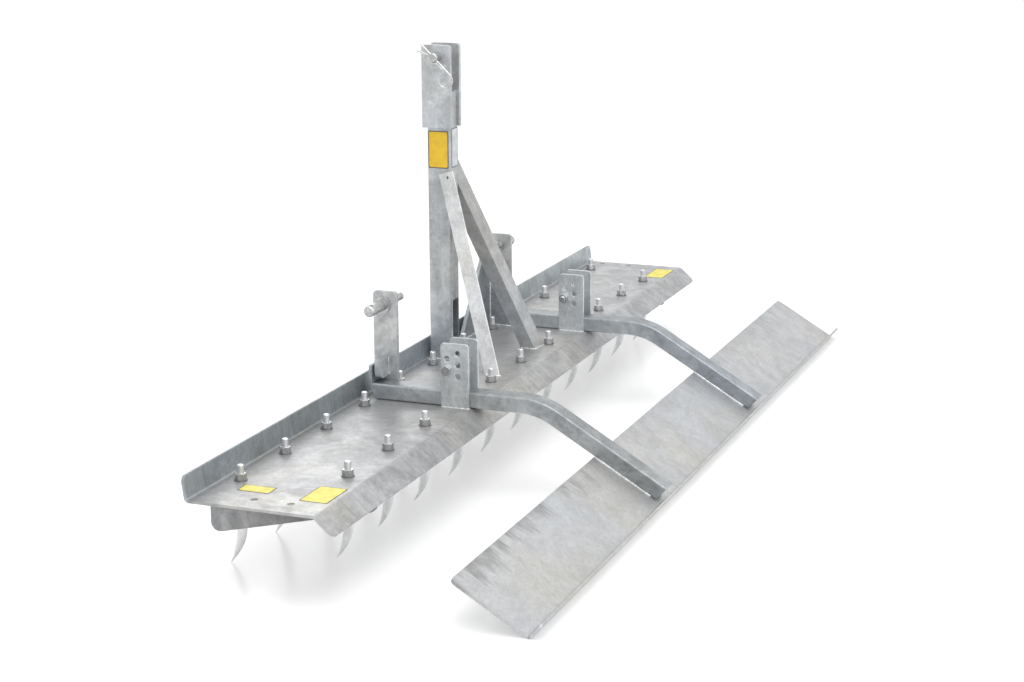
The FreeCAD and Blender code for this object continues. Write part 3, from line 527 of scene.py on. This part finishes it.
def dress_nodes():
    """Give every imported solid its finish, and return the bright zinc."""
    arm = galvanised("arm", arm_painted_shade)
    bracket = galvanised("bracket")
    guide = galvanised("guide")
    bright = zinc("bright_zinc")
    turned = zinc("turned_pin")
    claws = claw_steel()
    finishes = {
        "tine_tray": galvanised("tray", tray_marks_and_shade, TRAY_RIM),
        "levelling_blade": galvanised("blade", blade_stains_and_shade, BLADE_RIM, BLADE_SLOPE),
        "mast_tube": galvanised("mast"), "link_gusset_right": galvanised("gusset"),
        "front_row_tines": claws, "rear_row_tines": claws,
        "tine_washers": zinc("dull_zinc"), "tine_nuts": bright,
        "top_link_pin": turned, "r_clip": zinc("clip_wire"),
        "lower_pin_nuts": bright, "guide_bolt_nuts": bright, "arm_end_caps": arm,
    }
    sided = {
        "side_board": galvanised("board", board_marks, BOARD_RIM),
        "mast_brace": galvanised("brace", brace_light_and_shade, BRIGHT_RIM),
        "lower_link_plate": galvanised("plate", plate_painted_shade),
        "top_link_plate": bracket, "hook_lug": bracket, "lower_link_pin": turned,
        "guide_plate_inner": guide, "guide_plate_outer": guide, "guide_bolt": bright,
        "blade_arm": arm, "arm_hook": arm,
    }
    for base, finish in sided.items():
        for side, _ in SIDES:
            finishes[f"{base}_{side}"] = finish
    for name, piece in frame["nodes"].items():
        piece.data.materials.clear()
        piece.data.materials.append(finishes[name])
    return bright


def new_piece(name, mesh_builder, material, body):
    """A smooth-shaded piece from mesh code, riding on a body."""
    mesh = bpy.data.meshes.new(name)
    mesh_builder.to_mesh(mesh)
    mesh_builder.free()
    mesh.shade_smooth()
    piece = bpy.data.objects.new(name, mesh)
    bpy.context.scene.collection.objects.link(piece)
    mesh.materials.append(material)
    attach(piece, body)
    return piece


def square_to(along):
    """Two directions square to a third and to each other."""
    aside = along.cross(UP if abs(along.z) < 0.9 else Vector((0, 1, 0))).normalized()
    return aside, aside.cross(along).normalized()


def ring_at(mesh, centre, along, radius):
    """A ring of vertices round a centre, square to a direction."""
    aside, above = square_to(along)
    turns = [tau * i / WELD_SIDES for i in range(WELD_SIDES)]
    return [mesh.verts.new(centre + aside * (radius * cos(t)) + above * (radius * sin(t)))
            for t in turns]


def join_rings(mesh, first, second):
    """Faces between two rings."""
    count = len(first)
    for i in range(count):
        j = (i + 1) % count
        mesh.faces.new((first[i], first[j], second[j], second[i]))


def bead(mesh, start, end, radius, chance):
    """A rippled weld bead between two points, rounded off at both ends."""
    length = (end - start).length
    along = (end - start).normalized()
    steps = max(int(length / WELD_STEP), LEAST_BEAD_STEPS)
    previous = None
    sway = chance.uniform(0, tau)
    for i in range(steps + 1):
        t = i / steps
        taper = min(1.0, sin(pi * t) * steps / RUN_OUT_STEPS)
        wave = abs(sin(pi * t * length / WELD_RIPPLE))
        ripple = 1 - RIPPLE_SHARE + RIPPLE_SHARE * wave
        scatter = chance.uniform(-SCATTER_SHARE, SCATTER_SHARE)
        wander = WANDER_SHARE * sin(sway + WANDER_WAVES * t) + scatter
        size = max(radius * taper * (ripple + wander), radius * THINNEST_SHARE)
        ring = ring_at(mesh, start + along * (length * t), along, size)
        if previous:
            join_rings(mesh, previous, ring)
        else:
            mesh.faces.new(reversed(ring))
        previous = ring
    mesh.faces.new(previous)


def welds(name, lines, body, material, radius=WELD_RADIUS):
    """One piece with a bead along every line."""
    chance = Random(name)
    mesh = bmesh.new()
    for start, end in lines:
        bead(mesh, Vector(start), Vector(end), radius, chance)
    new_piece(name, mesh, material, body)


def foot_lines(box, sign, ends=True):
    """The outer foot of an upright plate on the deck, and its two short ends."""
    low, high = box
    side = high.x if sign > 0 else low.x
    lines = [((side, low.y, low.z), (side, high.y, low.z))]
    if ends:
        lines += [((low.x, y, low.z), (high.x, y, low.z)) for y in (low.y, high.y)]
    return lines


def bracket_welds(material):
    """Beads at the feet of the link plates, gusset and guide plates, and beside the lugs."""
    for side, sign in SIDES:
        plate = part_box(f"lower_link_plate_{side}")
        lines = foot_lines(plate, sign, False) + foot_lines(plate, -sign, False)
        lines.append(((plate[0].x, plate[0].y, DECK), (plate[1].x, plate[0].y, DECK)))
        welds(f"link_plate_welds_{side}", lines, "tray", material)
        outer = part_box(f"guide_plate_outer_{side}")
        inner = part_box(f"guide_plate_inner_{side}")
        lines = foot_lines(outer, sign) + foot_lines(inner, -sign)
        welds(f"guide_plate_welds_{side}", lines, "tray", material, SMALL_WELD)
        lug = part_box(f"hook_lug_{side}")
        wall = lug[0].x if sign > 0 else lug[1].x
        lines = [((wall, y, lug[0].z), (wall, y, lug[1].z)) for y in (lug[0].y, lug[1].y)]
        welds(f"hook_lug_welds_{side}", lines, "tray", material, LUG_WELD)
    low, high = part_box("link_gusset_right")
    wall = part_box("lower_link_plate_right")[0].x
    welds("gusset_welds", [((low.x, low.y, DECK), (high.x, low.y, DECK)),
                           ((wall, low.y, DECK), (wall, low.y, high.z))], "tray", material)


def mast_welds(material):
    """Beads round the mast's foot and along the lower and front edges of its link plates."""
    low, high = MAST
    lines = [((x, low.y, DECK), (x, high.y, DECK)) for x in (low.x, high.x)]
    lines.append(((low.x, high.y, DECK), (high.x, high.y, DECK)))
    for side, sign in SIDES:
        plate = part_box(f"top_link_plate_{side}")
        wall = plate[0].x if sign > 0 else plate[1].x
        lines.append(((wall, low.y, plate[0].z), (wall, high.y, plate[0].z)))
        lines.append(((wall, high.y, plate[0].z), (wall, high.y, high.z)))
    welds("mast_welds", lines, "tray", material, SMALL_WELD)


def brace_welds(material):
    """Beads along the left and rear sides of the braces' feet."""
    for side, _ in SIDES:
        mesh = frame["nodes"][f"mast_brace_{side}"].data
        places = [vertex.co.copy() for vertex in mesh.vertices]
        feet = [place for place in places if place.z < DECK + WELD_STEP / 10]
        corner = min(feet, key=lambda place: place.x + place.y)
        ahead = max(feet, key=lambda place: place.y - FOOT_CORNER_LEAN * place.x)
        aside = max(feet, key=lambda place: place.x - FOOT_CORNER_LEAN * place.y)
        welds(f"brace_foot_welds_{side}", [(ahead, corner), (corner, aside)], "tray", material)


def arm_welds(material):
    """Beads between the arms and the blade, along their sides and across their feet."""
    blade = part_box("levelling_blade")
    down = Vector((0, -cos(radians(BLADE_SLOPE)), -sin(radians(BLADE_SLOPE))))
    top_edge = Vector((0, blade[1].y - BLADE_SHEET * sin(radians(BLADE_SLOPE)), blade[1].z))
    cap_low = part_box("arm_end_caps")[0]
    reach = (top_edge.z - cap_low.z) / sin(radians(BLADE_SLOPE))
    for side, _ in SIDES:
        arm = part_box(f"blade_arm_{side}")
        lines = []
        for x in (arm[0].x, arm[1].x):
            start = top_edge + Vector((x, 0, 0))
            lines.append((start, start + down * reach * ARM_SIDE_WELD_SHARE))
        foot = top_edge + down * (reach * ARM_FOOT_SHARE)
        lines.append((foot + Vector((arm[0].x, 0, 0)), foot + Vector((arm[1].x, 0, 0))))
        welds(f"arm_blade_welds_{side}", lines, "blade_frame", material)


def thread(mesh, base, along, radius, length):
    """A helical ridge round a rod."""
    turns = length / THREAD_PITCH
    steps = max(int(turns * THREAD_TURN_STEPS), LEAST_THREAD_STEPS)
    aside, above = square_to(along)
    previous = None
    for i in range(steps + 1):
        t = i / steps
        outward = aside * cos(tau * turns * t) + above * sin(tau * turns * t)
        centre = base + along * (length * t)
        half = along * (THREAD_PITCH * THREAD_HALF_SHARE)
        root = outward * (radius - THREAD_HEIGHT)
        crest = outward * (radius + THREAD_HEIGHT)
        ring = [mesh.verts.new(centre + root - half), mesh.verts.new(centre + crest),
                mesh.verts.new(centre + root + half)]
        if previous:
            join_rings(mesh, previous, ring)
        else:
            mesh.faces.new(reversed(ring))
        previous = ring
    mesh.faces.new(previous)


def loose_parts(node):
    """The low and high corners of each separate solid of a node."""
    mesh = bmesh.new()
    mesh.from_mesh(frame["nodes"][node].data)
    bmesh.ops.remove_doubles(mesh, verts=mesh.verts, dist=1e-6)
    mesh.verts.ensure_lookup_table()
    seen = set()
    found = []
    for first in mesh.verts:
        if first in seen:
            continue
        group = [first]
        seen.add(first)
        for vertex in group:
            for edge in vertex.link_edges:
                other = edge.other_vert(vertex)
                if other not in seen:
                    seen.add(other)
                    group.append(other)
        places = [vertex.co for vertex in group]
        found.append((Vector(map(min, *places)), Vector(map(max, *places))))
    mesh.free()
    return found


def stud_threads(material):
    """Threads on the studs above their nuts."""
    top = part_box("front_row_tines")[1].z
    mesh = bmesh.new()
    for low, high in loose_parts("tine_nuts"):
        centre = (low + high) / 2
        base = Vector((centre.x, centre.y, high.z))
        thread(mesh, base, UP, STUD_RADIUS, top - STUD_END_BEVEL - high.z)
    new_piece("stud_threads", mesh, material, "tray")


def patch_and_rim(name, corners, material, rim):
    """A sticker over a slightly larger and thinner dark one, which shows as its border."""
    points = [Vector(corner) for corner in corners]
    grown = []
    for i, point in enumerate(points):
        before = (points[i - 1] - point).normalized()
        after = (points[(i + 1) % 4] - point).normalized()
        grown.append(point - (before + after) * PATCH_RIM)
    rounded_patch(name + "_rim", grown, rim, PATCH_THICKNESS / 2)
    rounded_patch(name, points, material, PATCH_THICKNESS)


def rounded_patch(name, points, material, thickness):
    """A thin plain sticker on four corners given round its outline."""
    outward = (points[1] - points[0]).cross(points[2] - points[1]).normalized()
    mesh = bmesh.new()
    outline = []
    for i, point in enumerate(points):
        before = (points[i - 1] - point).normalized() * PATCH_CORNER
        after = (points[(i + 1) % 4] - point).normalized() * PATCH_CORNER
        for step in range(PATCH_CORNER_STEPS + 1):
            t = step / PATCH_CORNER_STEPS
            outline.append(point + before * (1 - t) ** 2 + after * t ** 2)
    bottom = [mesh.verts.new(place) for place in outline]
    top = [mesh.verts.new(place + outward * thickness) for place in outline]
    mesh.faces.new(reversed(bottom))
    mesh.faces.new(top)
    join_rings(mesh, bottom, top)
    piece = new_piece(name, mesh, material, "tray")
    piece.data.shade_flat()


def deck_patch(name, x0, x1, y0, y1, material, rim):
    """A sticker that lies on the deck."""
    corners = [(x0, y0, DECK), (x1, y0, DECK), (x1, y1, DECK), (x0, y1, DECK)]
    patch_and_rim(name, corners, material, rim)


def patches():
    """Plain stickers where the machine carries its signs."""
    yellow = plain_patch("yellow_patch", *YELLOW)
    orange = plain_patch("orange_patch", *ORANGE)
    pale = plain_patch("pale_patch", *PALE)
    dark = plain_patch("patch_rim", *DARK)
    front = MAST[1].y
    back = MAST[0].y
    left = MAST[0].x
    for name, (x0, x1, behind, ahead) in DECK_PATCHES.items():
        deck_patch(name, x0, x1, front - behind, front - ahead, yellow, dark)
    y0, y1 = back + SIDE_PATCH_INSETS[0], front - SIDE_PATCH_INSETS[1]
    z0, z1 = SIDE_PATCH_HEIGHTS
    patch_and_rim("patch_mast_side", [(left, y0, z0), (left, y0, z1), (left, y1, z1),
                                      (left, y1, z0)], orange, dark)
    x0, x1 = REAR_PATCH_PLACES
    z0, z1 = REAR_PATCH_HEIGHTS
    patch_and_rim("patch_mast_rear", [(x0, back, z0), (x1, back, z0), (x1, back, z1),
                                      (x0, back, z1)], pale, dark)


def camera():
    """The camera at the photograph's place, looking along its solved direction."""
    yaw, pitch, roll = radians(CAMERA_YAW), radians(CAMERA_PITCH), radians(CAMERA_ROLL)
    ahead = Vector((cos(yaw) * cos(pitch), sin(yaw) * cos(pitch), -sin(pitch)))
    level = Vector((sin(yaw), -cos(yaw), 0))
    upward = level.cross(ahead)
    right = level * cos(roll) + upward * sin(roll)
    above = upward * cos(roll) - level * sin(roll)
    data = bpy.data.cameras.new("camera")
    data.lens = LENS_MM
    data.sensor_width = SENSOR_MM
    data.clip_end = CAMERA_FAR
    made = bpy.data.objects.new("camera", data)
    turn = Matrix((right, above, -ahead)).transposed().to_4x4()
    made.matrix_world = Matrix.Translation(CAMERA_PLACE) @ turn
    bpy.context.scene.collection.objects.link(made)
    bpy.context.scene.camera = made


def seen_directly(tree):
    """One where the camera or a reflection looks, and zero for the light that surfaces share."""
    rays = tree.nodes.new("ShaderNodeLightPath").outputs
    seen = rays["Is Camera Ray"]
    for kind in ("Is Glossy Ray", "Is Transmission Ray"):
        either = tree.nodes.new("ShaderNodeMath")
        either.operation = "MAXIMUM"
        tree.links.new(seen, either.inputs[0])
        tree.links.new(rays[kind], either.inputs[1])
        seen = either.outputs[0]
    return seen


def world():
    """A white surround, weaker as light than it looks."""
    made = bpy.data.worlds.new("studio")
    made.use_nodes = True
    bpy.context.scene.world = made
    tree = made.node_tree
    background = tree.nodes["Background"]
    background.inputs["Color"].default_value = (1, 1, 1, 1)
    strength = tree.nodes.new("ShaderNodeMapRange")
    strength.inputs["To Min"].default_value = SURROUND_LIGHT
    strength.inputs["To Max"].default_value = SURROUND_LOOK
    tree.links.new(seen_directly(tree), strength.inputs["Value"])
    tree.links.new(strength.outputs[0], background.inputs["Strength"])


def floor():
    """A wide white floor, lifted a little for the camera so that it meets the backdrop."""
    mesh = bmesh.new()
    bmesh.ops.create_grid(mesh, x_segments=2, y_segments=2, size=FLOOR_HALF_SIZE)
    data = bpy.data.meshes.new("floor")
    mesh.to_mesh(data)
    mesh.free()
    made = bpy.data.objects.new("floor", data)
    bpy.context.scene.collection.objects.link(made)
    finish = Finish("floor_white")
    finish.finish(FLOOR_WHITE, FLOOR_ROUGHNESS, 0.0)
    finish.shader.inputs["Emission Color"].default_value = (1, 1, 1, 1)
    lift = finish.math("MULTIPLY", seen_directly(finish.tree), FLOOR_LIFT)
    finish.feed(finish.shader.inputs["Emission Strength"], lift)
    data.materials.append(finish.material)


def lamp(name, place, target, size, watts):
    """A soft square lamp."""
    data = bpy.data.lights.new(name, "AREA")
    data.energy = watts
    data.size = size
    made = bpy.data.objects.new(name, data)
    made.location = place
    made.rotation_euler = (Vector(target) - Vector(place)).to_track_quat("-Z", "Y").to_euler()
    bpy.context.scene.collection.objects.link(made)


def lamps():
    """A large lamp overhead and softer ones behind and beside the machine."""
    for name, place, target, size, watts in LAMPS:
        lamp(name, place, target, size, watts)


def build():
    """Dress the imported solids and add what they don't carry."""
    bright = dress_nodes()
    metal = weld_metal()
    bracket_welds(metal)
    mast_welds(metal)
    brace_welds(metal)
    arm_welds(metal)
    stud_threads(bright)
    patches()
    camera()
    world()
    floor()
    lamps()
    bpy.context.scene.view_settings.view_transform = "Standard"


build()
